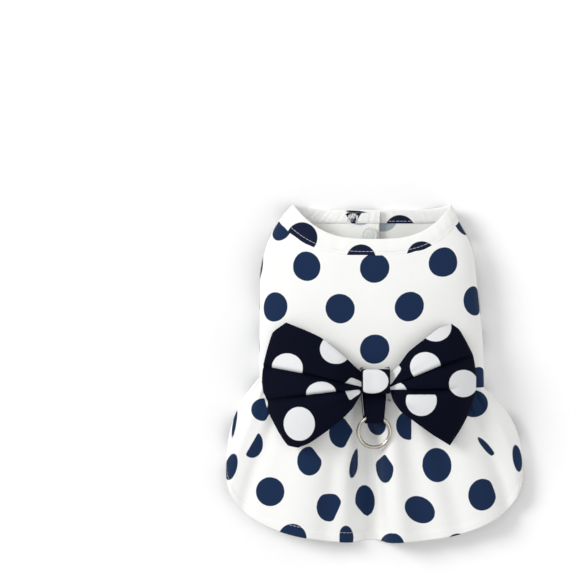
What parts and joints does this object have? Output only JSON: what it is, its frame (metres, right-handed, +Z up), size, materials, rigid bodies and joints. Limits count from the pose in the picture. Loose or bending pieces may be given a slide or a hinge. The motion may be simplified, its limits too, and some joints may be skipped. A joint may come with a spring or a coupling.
{
  "type": "dog dress",
  "caption": "Small dog's cotton dress lying on its belly: open tube body with leg holes, snap closure underneath, flared skirt, and a bow with a lead ring on the back.",
  "frame": {"origin": "centre of the bounding box at the surface that the dress lies on", "axes": "+Y along the dog's back from the skirt's hem to the neck, +Z up from the belly to the back and the bow, +X to the right as seen from above"},
  "size_m": [0.208, 0.2374, 0.0506],
  "materials": {
    "cotton_print": "plain-weave cotton, white with printed navy dots",
    "bow_print": "plain-weave cotton, dark navy with printed white dots",
    "snap_plastic": "moulded, translucent white",
    "nickel_wire": "nickel-plated steel wire"
  },
  "bodies": {
    "dress": {"back_panel": "cotton_print", "belly_panel_left": "cotton_print", "belly_panel_right": "cotton_print", "neck_binding": "cotton_print", "skirt": "cotton_print", "bow_left": "bow_print", "bow_right": "bow_print", "bow_knot": "bow_print", "leash_loop": "bow_print", "snap_outer_1": "snap_plastic", "snap_inner_1": "snap_plastic", "snap_outer_2": "snap_plastic", "snap_inner_2": "snap_plastic", "snap_outer_3": "snap_plastic", "snap_inner_3": "snap_plastic", "snap_outer_4": "snap_plastic", "snap_inner_4": "snap_plastic"},
    "ring": {"leash_ring": "nickel_wire"}
  },
  "joints": [
    {"name": "ring_hinge", "type": "hinge", "parent": "dress", "child": "ring", "pos_m": [-0.0006, -0.03036, 0.03467], "axis": [-1, 0, 0], "range_deg": [0, 160]}
  ]
}
